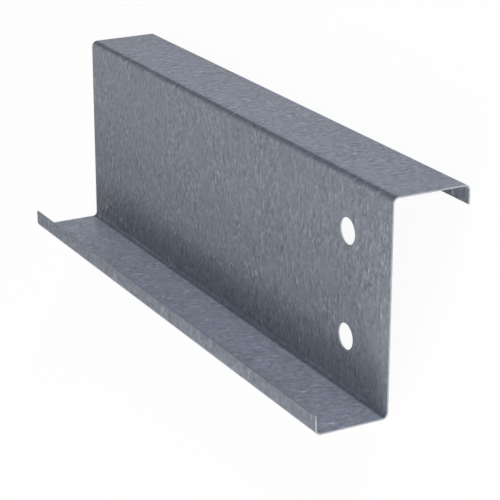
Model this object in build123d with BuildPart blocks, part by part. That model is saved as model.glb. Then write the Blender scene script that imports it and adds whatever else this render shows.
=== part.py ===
from build123d import *
from math import asin, atan2, cos, degrees, radians, sin
import os

# A length of cold-rolled Z purlin: one strip of galvanised sheet, bent four times into a lipped Z, cut square at
# both ends, with a pair of bolt holes punched through the web near one end.

# Driving sizes, in millimetres
length = 600
depth = 200  # over the outer faces of the two flanges
wide_flange = 77  # over the web and the lip
narrow_flange = 72.5  # over the web and the lip, so that one purlin nests inside the next where they lap
lip = 18  # over the flange
thickness = 1.5  # of the galvanised sheet
inside_bend = 4.5  # radius on the inner side of every bend
hole_diameter = 24.5
hole_spacing = 98  # between the two holes' centres, up the web
end_distance = 70  # from the cut end to the holes' centres

# The section, seen from the punched end with its web upright and the middle of the web at the origin. X is across
# the flanges and Y is up the web. The strip is drawn along its middle layer, where every bend has the same radius.
middle_bend = inside_bend + thickness / 2
flange_y = (depth - thickness) / 2
lip_end_y = depth / 2 - lip
wide_lip_x = wide_flange - thickness
narrow_lip_x = thickness - narrow_flange

# A Z section can't stand on a flange, because its weight is above the web. It tips back until it lies on the free
# edge of the wide flange's lip and on the bend under the web. The web then rises from the floor at web_slope.
outside_bend = inside_bend + thickness
web_foot = Vector(thickness / 2 - outside_bend, outside_bend - depth / 2)
lip_edge = Vector(wide_flange - thickness / 2, lip_end_y)
foot_to_lip = lip_edge - web_foot
web_slope = degrees(atan2(foot_to_lip.X, foot_to_lip.Y) - asin(outside_bend / foot_to_lip.length))
up_the_web = Vector(0, cos(radians(web_slope)), sin(radians(web_slope)))
across_the_flanges = Vector(0, sin(radians(web_slope)), -cos(radians(web_slope)))

# As it lies, its two outer corner bends are its furthest points along Y. They have one radius, so the middle of its
# width is halfway between their centres, and the lip's free edge gives the height of the floor.
wide_corner = Vector(wide_flange - thickness / 2 - outside_bend, depth / 2 - outside_bend)
narrow_corner = Vector(thickness / 2 - narrow_flange + outside_bend, outside_bend - depth / 2)
mid_width = (wide_corner + narrow_corner) / 2
web_middle = Vector(
    0,
    -(mid_width.X * across_the_flanges.Y + mid_width.Y * up_the_web.Y),
    -(lip_edge.X * across_the_flanges.Z + lip_edge.Y * up_the_web.Z),
)
section_plane = Plane(web_middle - Vector(length / 2, 0, 0), x_dir=across_the_flanges, z_dir=(1, 0, 0))
web_plane = Plane(web_middle, x_dir=(1, 0, 0), z_dir=-across_the_flanges)

with BuildPart() as z_purlin:
    # The bent strip
    with BuildSketch(section_plane):
        with BuildLine():
            FilletPolyline(
                (narrow_lip_x, -lip_end_y),
                (narrow_lip_x, -flange_y),
                (0, -flange_y),
                (0, flange_y),
                (wide_lip_x, flange_y),
                (wide_lip_x, lip_end_y),
                radius=middle_bend,
            )
        trace(line_width=thickness)
    extrude(amount=length)

    # The two bolt holes, through the web only
    with Locations(web_plane.offset(thickness / 2)):
        with Locations((length / 2 - end_distance, 0)):
            with GridLocations(0, hole_spacing, 1, 2):
                Hole(radius=hole_diameter / 2, depth=thickness)

z_purlin.part.label = "z_purlin"

os.makedirs("parts", exist_ok=True)
export_step(z_purlin.part, "parts/z_purlin.step")
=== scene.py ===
# %% [markdown]
# # A galvanised Z purlin
#
# A purlin is the rail that carries roof sheeting from rafter to rafter. This one starts as a flat strip
# of galvanised steel. A punch makes two bolt holes in it, a shear cuts it to length, and rows of rolls
# bend it into a Z with a small lip on each flange.
#
# The lesson makes it in that order too. The strip is drawn flat, where holes and cut edges are easy, and
# one function then bends all of it at once. After that come the zinc, the floor, the lamps and the
# camera.

import bpy
import numpy as np
from mathutils import Matrix


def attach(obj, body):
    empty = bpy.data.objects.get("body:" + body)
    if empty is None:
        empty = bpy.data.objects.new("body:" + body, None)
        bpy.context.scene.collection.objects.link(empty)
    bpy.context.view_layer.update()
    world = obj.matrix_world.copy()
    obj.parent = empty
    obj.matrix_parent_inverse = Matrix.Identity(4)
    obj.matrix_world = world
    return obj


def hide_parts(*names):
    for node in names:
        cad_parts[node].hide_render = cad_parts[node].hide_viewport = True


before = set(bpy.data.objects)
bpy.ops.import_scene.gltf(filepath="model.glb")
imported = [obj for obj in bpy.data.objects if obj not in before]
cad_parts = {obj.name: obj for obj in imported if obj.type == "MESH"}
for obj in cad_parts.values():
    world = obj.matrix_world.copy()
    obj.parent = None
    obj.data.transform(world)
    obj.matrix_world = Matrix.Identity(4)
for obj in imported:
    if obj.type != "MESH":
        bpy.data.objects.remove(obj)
bpy.context.view_layer.update()

# %% [markdown]
# ## Sizes
#
# All sizes are in metres and are those of the CAD solid. Each is written once, and what depends on it is
# worked out from it, so a purlin of another size needs no other change.

# %% Sizes of the purlin
LENGTH = 0.600
DEPTH = 0.200  # over the outer faces of the two flanges
WIDE_FLANGE = 0.077  # over the web and the lip
NARROW_FLANGE = 0.0725  # over the web and the lip
LIP = 0.018
SHEET = 0.0015  # thickness of the steel
INSIDE_BEND = 0.0045
HOLE_RADIUS = 0.01225
HOLE_SPACING = 0.098
HOLES_FROM_END = 0.070
ARRIS = 0.0002  # how far the shear and the punch round a cut edge over
print(f"a purlin {LENGTH * 1000:.0f} mm long and {DEPTH * 1000:.0f} mm deep")

# %% [markdown]
# ## The section as one line that turns
#
# A bent sheet could be modelled as five plates with rounded corners between them, but then each corner
# has to be fitted. It is simpler to follow the sheet's middle layer with a pen that goes straight, turns
# evenly, and goes straight again: lip, flange, web, flange, lip, with a quarter turn between each two.
#
# A chord leaves the start of its arc at half the angle that the arc turns through. That gives one formula
# for straight runs and bends alike, because a straight run is an arc that turns through nothing.

# %% The middle layer of the strip
middle_bend = INSIDE_BEND + SHEET / 2
outside_bend = INSIDE_BEND + SHEET
runs = np.array([LIP, NARROW_FLANGE, DEPTH, WIDE_FLANGE, LIP]) - outside_bend * np.array([1, 2, 2, 2, 1])
turns = np.radians([90.0, 90.0, -90.0, -90.0])

stretch = np.zeros(9)  # lengths of the runs and, between them, of the bends
stretch[0::2] = runs
stretch[1::2] = middle_bend * np.abs(turns)
stretch_turn = np.zeros(9)
stretch_turn[1::2] = turns
stretch_start = np.concatenate([[0.0], np.cumsum(stretch)])
stretch_heading = np.radians(-90.0) + np.concatenate([[0.0], np.cumsum(stretch_turn)])
strip_width = stretch_start[-1]
print(f"the flat strip is {strip_width * 1000:.2f} mm wide")


def chord(heading, turn, length):
    """Step from an arc's start to its end: its length times sin(half the turn) over half the turn, in the
    direction of the start's heading plus half the turn."""
    step = length * np.sinc(turn / 2 / np.pi)
    return np.stack([step * np.cos(heading + turn / 2), step * np.sin(heading + turn / 2)], axis=-1)


steps = chord(stretch_heading[:-1], stretch_turn, stretch)
stretch_point = np.cumsum(np.vstack([np.zeros(2), steps]), axis=0)
stretch_point -= (stretch_point[4] + stretch_point[5]) / 2  # the middle of the web is the section's origin


def follow_section(across):
    """Point and heading of the middle layer at a distance across the flat strip. Inside a bend the
    heading grows by the turn times the share of the bend that is behind, and the point is the bend's
    start plus a chord."""
    k = np.clip(np.searchsorted(stretch_start, across, side="right") - 1, 0, 8)
    inside = across - stretch_start[k]
    turned = stretch_turn[k] * inside / stretch[k]
    return stretch_point[k] + chord(stretch_heading[k], turned, inside), stretch_heading[k] + turned


# %% [markdown]
# ## How it lies
#
# A Z can't stand on a flange, because its weight is above the web and the flange is all to one side. It
# tips back and rests on two lines: the free edge of the wide flange's lip, and the bend under its web. So
# the floor touches the bend's circle and passes through the lip's corner. The web's slope is the
# direction from the circle's centre to that corner, less the angle whose sine is the circle's radius over
# their distance.

# %% Directions of the purlin as it lies
foot_centre = np.array([SHEET / 2 - outside_bend, outside_bend - DEPTH / 2])
lip_corner = np.array([WIDE_FLANGE - SHEET / 2, DEPTH / 2 - LIP])
reach = lip_corner - foot_centre
slope = np.arctan2(reach[0], reach[1]) - np.arcsin(outside_bend / np.hypot(*reach))

along_length = np.array([1.0, 0.0, 0.0])
up_web = np.array([0.0, np.cos(slope), np.sin(slope)])
across_flanges = np.array([0.0, np.sin(slope), -np.cos(slope)])
section_axes = np.stack([across_flanges, up_web])

# The two outer corners are its furthest points to the sides, and the floor's middle line is halfway between.
wide_corner = np.array([WIDE_FLANGE - SHEET / 2 - outside_bend, DEPTH / 2 - outside_bend])
narrow_corner = np.array([SHEET / 2 - NARROW_FLANGE + outside_bend, outside_bend - DEPTH / 2])
sideways = ((wide_corner + narrow_corner) / 2) @ section_axes
web_middle = np.array([0.0, -sideways[1], -(lip_corner @ section_axes)[2]])
print(f"the web rises at {np.degrees(slope):.2f} degrees, with its middle {web_middle[2] * 1000:.1f} mm up")


# %% [markdown]
# ## Bending
#
# A point of the flat strip has three numbers: how far across the strip, how far along it, and how high
# above its middle layer. Bending keeps the second and third. It turns the first into a place on the
# section, and it stands the height on the section's left-hand normal. Directions bend in the same way, so
# the shading normals can come from the same formula and needn't be guessed from the faces.

# %% From the flat strip to the purlin
def bend_points(flat):
    """Section point at that distance across, plus height times the left-hand normal, plus place along."""
    point, heading = follow_section(flat[:, 0])
    normal = np.stack([-np.sin(heading), np.cos(heading)], axis=-1)
    return web_middle + (point + flat[:, 2:] * normal) @ section_axes + flat[:, 1:2] * along_length


def bend_directions(flat, direction):
    """Across becomes the section's tangent, height its left-hand normal, and along stays as it is."""
    heading = follow_section(flat[:, 0])[1]
    tangent = np.stack([np.cos(heading), np.sin(heading)], axis=-1)
    normal = np.stack([-np.sin(heading), np.cos(heading)], axis=-1)
    in_section = direction[:, :1] * tangent + direction[:, 2:] * normal
    return in_section @ section_axes + direction[:, 1:2] * along_length


# %% [markdown]
# ## Grid lines
#
# The flat blank is made of patches, and each patch is a grid of points with two parameters. The lines are
# close together where the rolls will bend the strip and round the holes, and further apart where it stays
# flat.

# %% Lines across and along the blank
FLAT_STEP = 0.005
BEND_STEPS = 18
SQUARE = 0.018  # half the side of the square that is kept for a hole
SQUARE_STEPS = 20
RING_STEPS = 8
RING_CROWDING = 1.4  # above 1, the rings lie closer together near the hole


def lines(stops, fixed_steps):
    """Cuts each span between two stops into its own fixed number of steps, or into about FLAT_STEP
    each."""
    spans = []
    for i, (a, b) in enumerate(zip(stops, stops[1:])):
        count = fixed_steps.get(i, max(round((b - a) / FLAT_STEP), 1))
        spans.append(np.linspace(a, b, count, endpoint=False))
    return np.concatenate([*spans, [stops[-1]]])


holes_along = LENGTH / 2 - HOLES_FROM_END
holes_across = (stretch_start[4] + stretch_start[5]) / 2 + np.array([-0.5, 0.5]) * HOLE_SPACING
hole_cuts = (holes_across[:, None] + np.array([-SQUARE, SQUARE])).ravel()
across_stops = [ARRIS, *stretch_start[1:5], *hole_cuts, *stretch_start[5:9], strip_width - ARRIS]
along_stops = [ARRIS - LENGTH / 2, holes_along - SQUARE, holes_along + SQUARE, LENGTH / 2 - ARRIS]

bends = dict.fromkeys([1, 3, 9, 11], BEND_STEPS)
across_lines = lines(across_stops, {**bends, 5: SQUARE_STEPS, 7: SQUARE_STEPS})
along_lines = lines(along_stops, {1: SQUARE_STEPS})
print(len(across_lines), "lines across the strip and", len(along_lines), "along it")

# %% [markdown]
# ## Patches
#
# A patch gives, for each of its grid points, the place in the flat strip, the direction that the surface
# faces, and the place on a plan that unfolds the whole skin without a stretch. The plan will be the map
# that textures are baked on. One function cuts any grid into quads, by pairing every point with its three
# next neighbours.

# %% From a grid to quads
GAP_ON_PLAN = 0.012  # between the front face and the back one, with room for their cut edge
BACK_ON_PLAN = strip_width + GAP_ON_PLAN
quads = []


def add_patch(place, facing, plan):
    """Keeps each cell's corners: its own point, the next row's, the one across from it, and its
    neighbour."""
    facing = np.broadcast_to(facing, place.shape)
    grid = np.concatenate([place, facing, plan], axis=-1)
    cells = np.stack([grid[:-1, :-1], grid[1:, :-1], grid[1:, 1:], grid[:-1, 1:]], axis=2)
    quads.append(cells.reshape(-1, 4, grid.shape[-1]))


def add_faces(grid):
    """Puts a grid of (across, along) on both faces, and turns the back one over, on the plan too."""
    height = np.full(grid.shape[:-1] + (1,), SHEET / 2)
    front, back = np.concatenate([grid, height], axis=-1), np.concatenate([grid, -height], axis=-1)
    plan = grid[..., ::-1]
    add_patch(front, [0.0, 0.0, 1.0], plan)
    add_patch(back[::-1], [0.0, 0.0, -1.0], plan[::-1] * [-1.0, 1.0] + [0.0, BACK_ON_PLAN])

# %% [markdown]
# The large faces are the grid lines crossed with each other. The squares of the two holes stay open, so
# the grid is cut into rectangles at the squares' edges, and the two that hold a hole are left out.

# %% Large faces
SAME_PLACE = 1e-7  # metres: lines that are nearer to each other than this are the same line
across_cuts = [across_lines[0], *hole_cuts, across_lines[-1]]


def between(values, low, high):
    """The grid lines from low to high, with both ends."""
    return values[(values > low - SAME_PLACE) & (values < high + SAME_PLACE)]


for i, (a0, a1) in enumerate(zip(across_cuts, across_cuts[1:])):
    for j, (b0, b1) in enumerate(zip(along_stops, along_stops[1:])):
        holds_a_hole = j == 1 and i in (1, 3)
        if not holds_a_hole:
            rectangle = np.meshgrid(between(across_lines, a0, a1), between(along_lines, b0, b1))
            add_faces(np.stack(rectangle, axis=-1))
print(len(quads), "patches of flat sheet, front and back")

# %% [markdown]
# ## Holes in a grid
#
# A hole can be cut by a boolean, which leaves long thin triangles that catch the light badly. Here each
# hole has a patch of its own. One parameter goes round, and the other goes from the circle out to the
# square, as a blend of the two. The square's points are the grid's own, so the patch closes with its
# neighbours exactly.

# %% Round patches
def walk_round(across, along):
    """Closed loop round a rectangle of grid lines, anticlockwise from its lowest corner."""
    a, b = across, along
    sides = [
        np.stack([a[:-1], np.full(len(a) - 1, b[0])], axis=-1),
        np.stack([np.full(len(b) - 1, a[-1]), b[:-1]], axis=-1),
        np.stack([a[:0:-1], np.full(len(a) - 1, b[-1])], axis=-1),
        np.stack([np.full(len(b) - 1, a[0]), b[:0:-1]], axis=-1),
    ]
    return np.concatenate([*sides, sides[0][:1]])


def circle(centre, radius, points):
    """The centre plus the radius times (cos, sin) of an angle that starts at the square's lowest corner.
    The last point takes the first one's angle, so that the loop closes to the last digit."""
    angle = np.radians(-135.0) + 2 * np.pi * np.arange(points) / (points - 1)
    angle[-1] = angle[0]
    return centre + radius * np.stack([np.cos(angle), np.sin(angle)], axis=-1)


ring_share = (np.linspace(0, 1, RING_STEPS + 1) ** RING_CROWDING)[None, :, None]
for hole in holes_across:
    sides = between(across_lines, hole - SQUARE, hole + SQUARE), between(along_lines, *along_stops[1:3])
    square = walk_round(*sides)
    rim = circle(np.array([hole, holes_along]), HOLE_RADIUS + ARRIS, len(square))
    add_faces((1 - ring_share) * rim[:, None] + ring_share * square[:, None])
print(len(square) - 1, "points round each hole")

# %% [markdown]
# ## Cut edges
#
# A shear or a punch doesn't leave a knife-sharp corner. It drags the surface over a little before the
# steel breaks. So a cut edge is a profile carried along a loop: a small quarter round, the straight wall,
# and a quarter round again. A loop with the steel on its left needs no other rule, so the outside of the
# blank is walked anticlockwise and the holes clockwise.

# %% Sheared and punched edges
EDGE_STEPS = 4
quarter = np.linspace(0, np.pi / 2, EDGE_STEPS + 1)
edge_out = ARRIS * np.concatenate([np.sin(quarter), np.sin(quarter[::-1])])
edge_height = SHEET / 2 - ARRIS + ARRIS * np.cos(quarter)
edge_height = np.concatenate([edge_height, -edge_height[::-1]])
edge_angle = np.concatenate([quarter, quarter + np.pi / 2])
edge_arc = np.concatenate([[0.0], np.cumsum(np.hypot(np.diff(edge_out), np.diff(edge_height)))])


def add_cut_edge(loop, outward):
    """Place: loop plus outward times the profile's reach, at the profile's height. Facing: outward times
    the sine of the profile's angle, and its cosine through the sheet. Plan: unfolded outwards by the arc
    length."""
    shape = (len(loop), len(edge_out), 1)
    flat = loop[:, None] + outward[:, None] * edge_out[None, :, None]
    height = np.broadcast_to(edge_height[None, :, None], shape)
    sine, cosine = np.sin(edge_angle)[None, :, None], np.cos(edge_angle)[None, :, None]
    unit = (outward / np.linalg.norm(outward, axis=1, keepdims=True))[:, None]
    facing = np.concatenate([unit * sine, np.broadcast_to(cosine, shape)], axis=-1)
    unfolded = loop[:, None] + outward[:, None] * edge_arc[None, :, None]
    add_patch(np.concatenate([flat, height], axis=-1), facing, unfolded[..., ::-1])


outline = walk_round(across_lines, along_lines)
ends = np.array([[across_lines[0], along_lines[0]], [across_lines[-1], along_lines[-1]]])
add_cut_edge(outline, (outline >= ends[1]).astype(float) - (outline <= ends[0]))
for hole in holes_across:
    centre = np.array([hole, holes_along])
    rim = circle(centre, HOLE_RADIUS + ARRIS, 4 * SQUARE_STEPS + 1)[::-1]
    add_cut_edge(rim, (centre - rim) / (HOLE_RADIUS + ARRIS))
print(sum(len(q) for q in quads), "quads in", len(quads), "patches")

# %% [markdown]
# ## Welding and bending
#
# Patches that meet have the same points along their seam, so merging equal points closes the skin. The
# merged points are then bent, and the mesh is filled from whole arrays. Three numbers show that it
# worked: every edge of a closed skin has two faces, its volume is that of the strip less its holes, and
# its box is that of the CAD.

# %% One closed skin
DIGITS = 8  # points that agree to a hundred-millionth of a metre are one point

corner_table = np.concatenate(quads)
flat_keys = np.round(corner_table[..., :3].reshape(-1, 3), DIGITS)
flat, first, corner_vertex = np.unique(flat_keys, axis=0, return_index=True, return_inverse=True)
facing = corner_table[..., 3:6].reshape(-1, 3)[first]
plan = corner_table[..., 6:8].reshape(-1, 2)
face_vertices = corner_vertex.reshape(-1, 4)
points = bend_points(flat)

mesh = bpy.data.meshes.new("z_purlin_sheet")
mesh.from_pydata(points, [], face_vertices)
purlin = bpy.data.objects.new("z_purlin_sheet", mesh)
bpy.context.scene.collection.objects.link(purlin)
mesh.shade_smooth()
mesh.normals_split_custom_set_from_vertices(bend_directions(flat, facing))

edges = np.sort(np.stack([face_vertices, np.roll(face_vertices, -1, axis=1)], axis=-1).reshape(-1, 2), axis=1)
faces_per_edge = np.unique(edges, axis=0, return_counts=True)[1]
a, b, c, d = (points[face_vertices[:, i]] for i in range(4))
volume = (np.einsum("ij,ij->i", a, np.cross(b, c)) + np.einsum("ij,ij->i", a, np.cross(c, d))).sum() / 6
open_edges = (faces_per_edge != 2).sum()
print(f"{len(points)} points, {len(face_vertices)} quads, edges without two faces: {open_edges}")
print(f"volume {volume * 1e9:.0f} mm3, box {points.min(0).round(5)} to {points.max(0).round(5)}")

# %% [markdown]
# ## What the finish needs to know
#
# Zinc goes on while the steel is still a flat coil, so its pattern belongs to the flat strip and bends
# with it. Each point therefore keeps its place in the flat strip as an attribute, and the material reads
# that. Two more say where the sheet's narrow walls are, and which of them were cut through the zinc to
# bare steel. Only the ends and the holes are bare, because the strip's long edges were zinc-coated too.

# %% Attributes of the sheet
def smooth_step(low, high, x):
    """Rises from 0 at low to 1 at high, as 3 t squared minus 2 t cubed."""
    t = np.clip((x - low) / (high - low), 0, 1)
    return t * t * (3 - 2 * t)


def add_attribute(name, kind, values):
    """Keeps a number or a place for each point of the mesh, under a name that a material can read."""
    key = "vector" if kind == "FLOAT_VECTOR" else "value"
    mesh.attributes.new(name, kind, "POINT").data.foreach_set(key, np.asarray(values, np.float32).ravel())


TURNED = (0.2, 0.8)  # how far an edge has turned from the face where its wall begins, and is whole

to_hole = np.hypot(flat[:, :1] - holes_across, flat[:, 1:2] - holes_along).min(1)
wall = smooth_step(*TURNED, 1 - np.abs(facing[:, 2]))
end_wall = smooth_step(*TURNED, np.abs(facing[:, 1]))
cut = np.where(to_hole < HOLE_RADIUS + 1.5 * ARRIS, wall, end_wall)

add_attribute("flat_strip", "FLOAT_VECTOR", flat)
add_attribute("sheet_wall", "FLOAT", wall)
add_attribute("cut_edge", "FLOAT", cut)
print((cut > 0).sum(), "points on cut edges")

# %% [markdown]
# The last two attributes are painted light and shade. Each flat gets a share of the zinc's brightness of
# its own, a painted light or shade for how light falls on it. On the two bends next to the web the zinc
# crazed as it was stretched, which makes them rougher, and a painted shade darkens them. Both begin a
# little way into the bend, are strongest past its middle, and are nearly gone at its end.

# %% Painted light and shade on the flats and bends
# Painted light and shade: each flat's brightness where it begins and ends, paler or darker as light falls on
# it.
PAINTED_SHADING_PER_FLAT = [  # where each flat of the strip begins and ends
    0.925, 0.925,  # lip of the narrow flange
    1.09, 1.16,  # narrow flange
    1.09, 0.94,  # web
    0.895, 0.875,  # wide flange
    0.95, 0.95,  # lip of the wide flange
]
BEND_UNDER_WEB, BEND_OVER_WEB = 3, 5  # counted over the nine stretches of the strip
# the bend over the web gets this share of the painted shade and roughness of the one under it
OVER_WEB = 0.77  # the bend over the web is crazed this much of what the one under it is

piece = np.clip(np.searchsorted(stretch_start, flat[:, 0], side="right") - 1, 0, 8)
share = (flat[:, 0] - stretch_start[piece]) / stretch[piece]
from_web = np.where(piece <= 3, 1 - share, share)  # 0 at the bend's end nearer the web, 1 at the other
fading = smooth_step(1.1, 0.7, from_web)
under_web = smooth_step(-0.15, 0.65, from_web) * fading
over_web = OVER_WEB * smooth_step(0.05, 0.72, from_web) * fading
# painted shade on the two bends next to the web; the same mask makes them rougher and fades their bump
shaded_and_crazed = np.select([piece == BEND_UNDER_WEB, piece == BEND_OVER_WEB], [under_web, over_web], 0.0)

# kept for the material, which darkens the bends with it as a painted shade
add_attribute("shaded_dulled_bend", "FLOAT", shaded_and_crazed)
# the painted light and shade of each flat, as a share of the zinc's brightness
add_attribute("flat_painted_shading", "FLOAT", np.interp(flat[:, 0], stretch_start, PAINTED_SHADING_PER_FLAT))
print((shaded_and_crazed > 0).sum(), "points on crazed bends")

# %% [markdown]
# ## A plan for baking
#
# Someone who wants this purlin in another program needs its finish as pictures. The unfolded skin is a
# good map for them, because nothing on it is stretched and each face has its own place. It only has to
# fit the unit square.

# %% The unfolded skin as a UV map
MARGIN = 0.004  # of the picture's side, left free all round

low, high = plan.min(0), plan.max(0)
fitted = MARGIN + (plan - low) / (high - low) * (1 - 2 * MARGIN)
mesh.uv_layers.new(name="OFBake").uv.foreach_set("vector", fitted.astype(np.float32).ravel())
print(f"the skin unfolds to {(high - low)[0] * 1000:.0f} by {(high - low)[1] * 1000:.0f} mm")

# %% [markdown]
# ## Nodes in few words
#
# A material is a small machine of nodes. Written link by link it is hard to read, so one helper adds a
# node, sets its options and fills its inputs. An input that is given another node's output is linked to
# it. Any other value is written on the socket itself.

# %% Helpers for nodes
def add_node(tree, kind, inputs, **options):
    """Adds a node. inputs maps a socket's name or number to a value or to another node's output."""
    node = tree.nodes.new(kind)
    for name, value in options.items():
        setattr(node, name, value)
    for name, value in inputs.items():
        if isinstance(value, bpy.types.NodeSocket):
            tree.links.new(value, node.inputs[name])
        else:
            node.inputs[name].default_value = value
    return node


def maths(tree, operation, *values):
    """One sum of a Math node, such as MULTIPLY of two values or MULTIPLY_ADD of three."""
    return add_node(tree, "ShaderNodeMath", dict(enumerate(values)), operation=operation).outputs[0]


def remap(tree, value, low, high, to_low, to_high):
    """Takes low to to_low and high to to_high along a straight line, which stops at both ends."""
    names = {"Value": value, "From Min": low, "From Max": high, "To Min": to_low, "To Max": to_high}
    return add_node(tree, "ShaderNodeMapRange", names).outputs["Result"]


def scaled(tree, vector, factor):
    """A colour or a place times a number."""
    names = {0: vector, "Scale": factor}
    return add_node(tree, "ShaderNodeVectorMath", names, operation="SCALE").outputs[0]


def blend_colours(tree, share, one, other):
    """The first colour where the share is 0, the second where it is 1."""
    return add_node(tree, "ShaderNodeMix", {0: share, 6: one, 7: other}, data_type="RGBA").outputs[2]


# %% [markdown]
# ## The zinc
#
# Zinc from a hot bath freezes into grains. On building steel they are small and dull, so the sheet looks
# like frosted blue-grey paper and not like a mirror. Seen closely it is a patchwork of short paler and
# darker marks. Nearly all are longer across the strip than along it, like the ripples that the air knives
# leave when they blow the spare zinc off.
#
# A photograph of a sheet used as a texture would be quick, but it would stretch at the bends and repeat
# on a longer purlin. Noise that reads the place in the flat strip does neither. To draw its marks out,
# the place is squeezed along one direction before the noise reads it.

# %% Places on the flat strip
zinc = bpy.data.materials.new("galvanised_zinc")
zinc.use_nodes = True
tree = zinc.node_tree
shader = tree.nodes["Principled BSDF"]


def attribute(name, output="Fac"):
    """What the mesh keeps under a name: Fac is a number, Vector is a place."""
    return add_node(tree, "ShaderNodeAttribute", {}, attribute_name=name).outputs[output]


# The two faces are only 1.5 mm apart. Stretched sixty times, that is far enough to give each its own pattern.
FACES_APART = 60
strip_place = attribute("flat_strip", "Vector")
as_stretched = {"Vector": strip_place, "Scale": (1, 1, FACES_APART)}
place = add_node(tree, "ShaderNodeMapping", as_stretched).outputs[0]


def drawn_out(times, degrees=0):
    """The place for marks so many times as long as wide, turned so far from straight across the strip."""
    turned, scale = (0, 0, np.radians(degrees)), (times, 1, 1 / FACES_APART)
    names = {"Vector": strip_place, "Rotation": turned, "Scale": scale}
    return add_node(tree, "ShaderNodeMapping", names, vector_type="TEXTURE").outputs[0]


# %% [markdown]
# Each pattern below is one thing that the eye finds on the sheet. The numbers are cells to the metre, so
# the peel has a mark every 6 mm and the lines lie 2 mm apart. The patches have no look of their own: they
# say where the peel and the speckle are strong and where they are weak, which keeps the sheet from
# looking printed.

# %% Soft marks
def noise(per_metre, detail=2.0, roughness=0.5, distortion=0.0, at=None):
    """Soft noise around 0.5. Each level of detail is twice as fine, and roughness times as strong."""
    names = {"Vector": at or place, "Scale": per_metre, "Detail": detail, "Roughness": roughness}
    return add_node(tree, "ShaderNodeTexNoise", {**names, "Distortion": distortion}).outputs["Fac"]


def centred_times(pattern, factor, middle=0.0):
    """(pattern minus a half) times the factor, plus the middle."""
    return maths(tree, "MULTIPLY_ADD", maths(tree, "SUBTRACT", pattern, 0.5), factor, middle)


WEAK_PATCH, STRONG_PATCH = 0.3, 1.5

peel = noise(160, detail=3.0, roughness=0.6, at=drawn_out(1.35, degrees=31))
mottle = noise(200, roughness=0.6)
line = noise(480, detail=1.0, at=drawn_out(6))
fine = noise(900, roughness=0.6)
swell = noise(52, detail=1.0)
cloud = noise(9)
patches = remap(tree, noise(38, detail=1.0, distortion=0.4), 0.35, 0.65, WEAK_PATCH, STRONG_PATCH)
speckle = centred_times(noise(375, detail=1.0, at=drawn_out(1.9, degrees=12)), patches, middle=0.5)
print("soft marks:", len(tree.nodes), "nodes so far")

# %% [markdown]
# Where the wet zinc ran and stopped it left thin curved creases. A soft noise passes its middle value
# along just such curves, so how near it comes to 0.5 draws them, without a single curve being placed by
# hand.
#
# The grains are cells round scattered points. Their straight borders would look like paving, so the place
# is first pushed about by a noise.

# %% Creases and grains
CREASE_HALF_WIDTH = 0.10  # in the noise's own measure
soft = noise(100, detail=1.0, distortion=0.5)
from_middle = maths(tree, "ABSOLUTE", maths(tree, "SUBTRACT", soft, 0.5))
crease = maths(tree, "POWER", remap(tree, from_middle, 0.0, CREASE_HALF_WIDTH, 1.0, 0.0), 2.0)

PUSH = 0.0045  # metres, for a noise that goes from one end to the other
to_and_fro = {"Vector": place, "Scale": 260.0, "Detail": 1.0}
push = add_node(tree, "ShaderNodeTexNoise", to_and_fro).outputs["Color"]
push = add_node(tree, "ShaderNodeVectorMath", {0: push, 1: (0.5, 0.5, 0.5)}, operation="SUBTRACT").outputs[0]
push = scaled(tree, push, PUSH)
moved = add_node(tree, "ShaderNodeVectorMath", {0: push, 1: place}, operation="ADD").outputs[0]


def scatter(per_metre, at=None):
    """The distance to the nearest of many scattered points, and that point's three random numbers."""
    cells = add_node(tree, "ShaderNodeTexVoronoi", {"Vector": at or moved, "Scale": per_metre}).outputs
    return cells["Distance"], add_node(tree, "ShaderNodeSeparateColor", {0: cells["Color"]}).outputs


grain = scatter(185)[1][0]
print("creases and grains:", len(tree.nodes), "nodes so far")

# %% [markdown]
# Dross from the bath sticks to the zinc as small pimples, and where the bath didn't wet the steel well it
# leaves pits. Here and there the zinc ran a little before it froze, and stands up in a short drip across
# the strip. Between the drips are dull marks of the same form, which lie flat. All four are soft spots
# round scattered points, and the last two are drawn out. Many points are left without a spot, because it
# is multiplied by how far the point's own random number is above a least value.

# %% Pimples, pits, drips and dull marks
ROUNDING = 1.5


def spots(per_metre, radius, least, at=None):
    """(1 minus distance over radius) to the power ROUNDING, times 0 at the least chance to 1 at the
    most."""
    distance, chances = scatter(per_metre, at)
    rounded = maths(tree, "POWER", remap(tree, distance, 0.0, radius, 1.0, 0.0), ROUNDING)
    return maths(tree, "MULTIPLY", rounded, remap(tree, chances[1], least, 1.0, 0.0, 1.0))


pimple = spots(64, radius=0.34, least=0.40)
pit = spots(78, radius=0.20, least=0.60)
short_mark = drawn_out(2.3, degrees=4)
drip = spots(120, radius=0.36, least=0.30, at=short_mark)
dull_mark = spots(105, radius=0.34, least=0.30, at=short_mark)
print("pimples, pits, drips and dull marks:", len(tree.nodes), "nodes so far")

# %% [markdown]
# ## Relief
#
# The heights of all patterns are added up and given to a bump, which tilts the direction in which the
# surface meets the light and leaves the mesh flat. They are several times the real heights, because in a
# small picture the real ones would not catch the light. Only the creases are kept low: as steep folds
# they would make the zinc look like wrinkled paint from nearby. On the narrow walls of the sheet the bump
# fades out, since a wall 1.5 mm wide has no room for it, and on the crazed bends it fades by more than
# half, since the rolls pressed them smooth.

# %% The bump
PEEL_HEIGHT = 0.0015
HEIGHTS = ((swell, 0.0002), (fine, 0.00012), (pimple, 0.0019), (drip, 0.0023), (crease, 0.0001))  # in metres
FADE_ON_BENDS = 0.6

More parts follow.
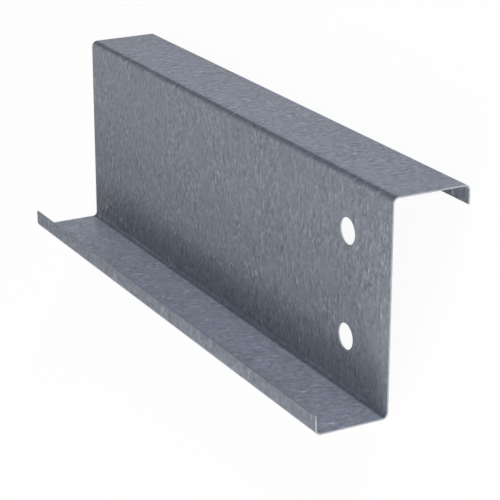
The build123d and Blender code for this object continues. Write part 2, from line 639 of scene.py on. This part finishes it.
# the bends' painted shade mask, which also fades the bump and adds roughness
bend_shaded_dulled = attribute("shaded_dulled_bend")
height = maths(tree, "MULTIPLY", centred_times(peel, patches), PEEL_HEIGHT)
for pattern, full_height in HEIGHTS:
    height = maths(tree, "MULTIPLY_ADD", pattern, full_height, height)
faded = maths(tree, "MULTIPLY_ADD", bend_shaded_dulled, FADE_ON_BENDS, attribute("sheet_wall"))
relief = remap(tree, faded, 0.0, 1.0, 1.0, 0.0)
bump = add_node(tree, "ShaderNodeBump", {"Height": height, "Distance": 1.0, "Strength": relief})
print("the highest mark is", 1000 * max(full_height for _, full_height in HEIGHTS), "mm high")

# %% [markdown]
# ## Brightness
#
# Most of what the eye sees as texture is not relief. The marks are paler or darker zinc, which shows in
# any light and from every side. So every pattern also moves the brightness of one blue-grey a little. A
# soft mark with a reach of 0.30 would move it from 0.85 to 1.15, while a spot or a crease moves it one
# way only. It starts from the mesh's painted light and shade for each flat.

# %% How bright the zinc is
SOFT_REACH = ((grain, 0.12), (mottle, 0.27), (speckle, 0.38), (line, 0.28), (cloud, 0.02), (fine, 0.10))
MIDDLE_HALF = (0.25, 0.75)  # a noise seldom leaves it
SPOT_REACH = ((pimple, 0.34), (pit, -0.42), (drip, 0.28), (dull_mark, -0.32), (crease, 0.14))

# the brightness starts from the painted light and shade of each flat
brightness = attribute("flat_painted_shading")
for pattern, reach in SOFT_REACH:
    low, high = (0.0, 1.0) if pattern is grain else MIDDLE_HALF
    moved_by = remap(tree, pattern, low, high, 1 - reach / 2, 1 + reach / 2)
    brightness = maths(tree, "MULTIPLY", brightness, moved_by)
for pattern, reach in SPOT_REACH:
    brightness = maths(tree, "MULTIPLY", brightness, remap(tree, pattern, 0.0, 1.0, 1.0, 1 + reach))
print(len(SOFT_REACH) + len(SPOT_REACH), "patterns move the brightness")

# %% [markdown]
# ## Sheen
#
# Clean zinc is a metal, but its dull crystals scatter light like paint. So the surface is mostly a matt
# one with a share of metal, and that share follows the peel, which makes the sheet glint in patches. The
# paler speckles are the smoother ones. On the bends next to the web the zinc crazed as it was stretched,
# which leaves it duller there, and a painted shade makes it darker.

# %% Roughness, metal and colour
ZINC = (0.190, 0.207, 0.242, 1.0)
# painted shade: the colour that the bends next to the web are darkened towards
PAINTED_BEND_SHADE_ZINC = (0.066, 0.076, 0.099, 1.0)
SPECKLE_ROUGHNESS = (0.62, 0.38)  # where it is dark, and where it is pale
METAL_SHARE = (0.06, 0.36)  # in the low places of the peel, and on its high ones
NOISE_ENDS = (0.3, 0.7)  # what a noise reaches in its low and high places
MIRROR = 0.15  # how much the matt part mirrors

roughness = remap(tree, speckle, *NOISE_ENDS, *SPECKLE_ROUGHNESS)
for pattern, rougher in ((pimple, -0.04), (bend_shaded_dulled, 0.08)):
    roughness = maths(tree, "MULTIPLY_ADD", pattern, rougher, roughness)
metal = maths(tree, "MULTIPLY_ADD", pimple, 0.03, remap(tree, peel, *NOISE_ENDS, *METAL_SHARE))
# the painted shade darkens the bends next to the web
zinc_colour = scaled(tree, blend_colours(tree, bend_shaded_dulled, ZINC, PAINTED_BEND_SHADE_ZINC), brightness)
print("zinc", ZINC[:3], "and crazed zinc", PAINTED_BEND_SHADE_ZINC[:3])

# %% [markdown]
# ## The cut steel
#
# A cut edge shows the steel itself, brighter and smoother than the zinc. The shear leaves fine lines
# through the thickness of the sheet, so the noise for them is squeezed along the edge and stretched
# through the sheet.

# %% Steel on the cut edges
STEEL = (0.375, 0.392, 0.422)
STEEL_TONES = (0.8, 1.15)
STEEL_ROUGHNESS = (0.32, 0.46)
through_sheet = {"Vector": strip_place, "Scale": (1, 1, 0.12)}
shear_lines = noise(1500, at=add_node(tree, "ShaderNodeMapping", through_sheet).outputs[0])
steel_colour = scaled(tree, STEEL, remap(tree, shear_lines, *NOISE_ENDS, *STEEL_TONES))
steel_roughness = remap(tree, shear_lines, *NOISE_ENDS, *STEEL_ROUGHNESS)
print("steel", STEEL, "with", len(tree.nodes), "nodes so far")

# %% [markdown]
# The two finishes now meet on one shader. The attribute of the cut edges says how much of each shows. How
# much the matt part mirrors is one plain number on its socket.

# %% Zinc and steel on one shader
edge_cut = attribute("cut_edge")
both_roughness = add_node(tree, "ShaderNodeMix", {0: edge_cut, 2: roughness, 3: steel_roughness}).outputs[0]
surface = {
    "Base Color": blend_colours(tree, edge_cut, zinc_colour, steel_colour),
    "Roughness": both_roughness,
    "Metallic": metal,
    "Normal": bump.outputs[0],
}
for socket, source in surface.items():
    tree.links.new(source, shader.inputs[socket])
shader.inputs["Specular IOR Level"].default_value = MIRROR
mesh.materials.append(zinc)
print("the zinc has", len(tree.nodes), "nodes")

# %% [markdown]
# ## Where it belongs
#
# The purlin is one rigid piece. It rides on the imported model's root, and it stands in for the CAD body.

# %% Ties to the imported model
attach(purlin, "root")
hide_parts("z_purlin")

# %% [markdown]
# ## The floor
#
# The floor is one large pale square. To the camera and to mirror reflections it is nearly a white of its
# own, so the ground is white in the picture without more light on the purlin. The small rest of it is lit
# like any floor, and that keeps the purlin's shadow.

# %% A pale floor
FLOOR_HALF = 30.0  # metres, so that its edge is never seen
OWN_WHITE = 0.95
FLOOR_GREY = (0.8, 0.8, 0.8, 1)

corners = [(FLOOR_HALF * x, FLOOR_HALF * y, 0.0) for x, y in ((-1, -1), (1, -1), (1, 1), (-1, 1))]
floor_mesh = bpy.data.meshes.new("floor")
floor_mesh.from_pydata(corners, [], [(0, 1, 2, 3)])
floor = bpy.data.objects.new("floor", floor_mesh)
bpy.context.scene.collection.objects.link(floor)

paint = bpy.data.materials.new("pale_floor")
paint.use_nodes = True
tree = paint.node_tree
tree.nodes.remove(tree.nodes["Principled BSDF"])
rays = add_node(tree, "ShaderNodeLightPath", {}).outputs
mirrored = maths(tree, "MAXIMUM", rays["Is Glossy Ray"], rays["Is Transmission Ray"])
seen = maths(tree, "MAXIMUM", rays["Is Camera Ray"], mirrored)
lit = add_node(tree, "ShaderNodeBsdfDiffuse", {"Color": FLOOR_GREY}).outputs[0]
white = add_node(tree, "ShaderNodeEmission", {"Color": (1, 1, 1, 1), "Strength": 1.0}).outputs[0]
both = {0: maths(tree, "MULTIPLY", seen, OWN_WHITE), 1: lit, 2: white}
pale = add_node(tree, "ShaderNodeMixShader", both).outputs[0]
tree.links.new(pale, tree.nodes["Material Output"].inputs["Surface"])
floor_mesh.materials.append(paint)
print("the floor is", 2 * FLOOR_HALF, "m wide")

# %% [markdown]
# ## Lamps
#
# Round soft boxes stand on a sphere round the purlin, each for one task. The back box lights the two
# flanges from above. The low box, in front and close to the floor, and the side box, at the end with the
# holes, share the web. Three weak ones fill in from the front, and the raking box at the far end skims
# along the web, which shows its relief. The colours differ by a few hundredths: the light from behind is
# a little cool.

# %% Soft boxes
LAMPS = {  # name: azimuth, elevation, watts, colour
    "back_box": (180, 32, 36.2, (0.98, 0.995, 1.09)),
    "low_box": (20, 8, 40.0, (1.01, 1.0, 0.97)),
    "side_box": (90, 20, 25.9, (1.005, 1.0, 0.98)),
    "front_box": (0, 40, 11.0, (1.0, 1.0, 1.0)),
    "corner_box": (45, 40, 9.9, (1.0, 1.0, 1.0)),
    "raking_box": (270, 14, 8.0, (1.0, 1.0, 1.0)),
    "far_box": (315, 40, 6.4, (1.0, 1.0, 1.0)),
}
LAMP_DISTANCE, LAMP_WIDTH = 2.2, 1.2


def sphere_direction(azimuth, elevation):
    """(sin a cos e, minus cos a cos e, sin e): azimuth 0 is the front, and 90 is the right."""
    a, e = np.radians(azimuth), np.radians(elevation)
    return np.array([np.sin(a) * np.cos(e), -np.cos(a) * np.cos(e), np.sin(e)])


def pose(right, up, back, position):
    """Rotation columns and a place as one matrix."""
    matrix = np.eye(4)
    matrix[:3] = np.stack([right, up, back, position], axis=1)
    return Matrix(matrix.tolist())


for name, (azimuth, elevation, watts, tint) in LAMPS.items():
    lamp = bpy.data.lights.new(name, "AREA")
    lamp.shape, lamp.size, lamp.energy, lamp.color = "DISK", LAMP_WIDTH, watts, tint
    back = sphere_direction(azimuth, elevation)
    right = sphere_direction(azimuth + 90, 0)
    box = bpy.data.objects.new(name, lamp)
    box.matrix_world = pose(right, np.cross(back, right), back, LAMP_DISTANCE * back)
    bpy.context.scene.collection.objects.link(box)
print(len(LAMPS), "lamps,", sum(watts for _, _, watts, _ in LAMPS.values()), "W")

# %% [markdown]
# The world is a dim sky, brightest at the horizon, so that no reflection is quite black.

# %% Sky
SKY_AT_HORIZON, SKY_OVERHEAD = 0.10, 0.04

sky = bpy.data.worlds.new("sky")
sky.use_nodes = True
bpy.context.scene.world = sky
tree = sky.node_tree
view = add_node(tree, "ShaderNodeTexCoord", {}).outputs["Generated"]
upwards = add_node(tree, "ShaderNodeSeparateXYZ", {0: view}).outputs["Z"]
backdrop = tree.nodes["Background"].inputs
tree.links.new(remap(tree, upwards, 0.0, 1.0, SKY_AT_HORIZON, SKY_OVERHEAD), backdrop["Strength"])
backdrop["Color"].default_value = (1, 1, 1, 1)
print("the sky goes from", SKY_AT_HORIZON, "to", SKY_OVERHEAD)

# %% [markdown]
# ## The camera
#
# The picture shows the purlin upright and a little from above, from far away through a long lens, so the
# flanges stay nearly parallel. The angles are easiest to read in the purlin's own directions, so the
# camera is placed there, and the same three directions then carry it to where the purlin lies.

# %% Camera
CAMERA_AZIMUTH, CAMERA_ELEVATION, CAMERA_ROLL = 61.2929, 20.2250, 0.1081
CAMERA_DISTANCE = 1.806975
AIM = np.array([0.054539, 0.0, -0.025341])  # along, across and up the web, from the web's middle
LENS, FILM_WIDTH = 137.1467, 36.0  # mm

back = sphere_direction(CAMERA_AZIMUTH, CAMERA_ELEVATION)
level_right = sphere_direction(CAMERA_AZIMUTH + 90, 0)
level_up = np.cross(back, level_right)
roll = np.radians(CAMERA_ROLL)
right = np.cos(roll) * level_right + np.sin(roll) * level_up
up = np.cos(roll) * level_up - np.sin(roll) * level_right

own_axes = np.stack([along_length, across_flanges, up_web])
stand = web_middle + (AIM + CAMERA_DISTANCE * back) @ own_axes
lens = bpy.data.cameras.new("camera")
lens.lens, lens.sensor_width = LENS, FILM_WIDTH
camera = bpy.data.objects.new("camera", lens)
camera.matrix_world = pose(*(np.stack([right, up, back]) @ own_axes), stand)
bpy.context.scene.collection.objects.link(camera)
bpy.context.scene.camera = camera
bpy.context.scene.view_settings.view_transform = "Standard"
print("the camera stands at", stand.round(4))

# %% [markdown]
# ## Updating the scene
#
# The finished skin must stay in the box of the CAD solid. The scene is updated once more at the end.

# %% Last update
bpy.context.view_layer.update()
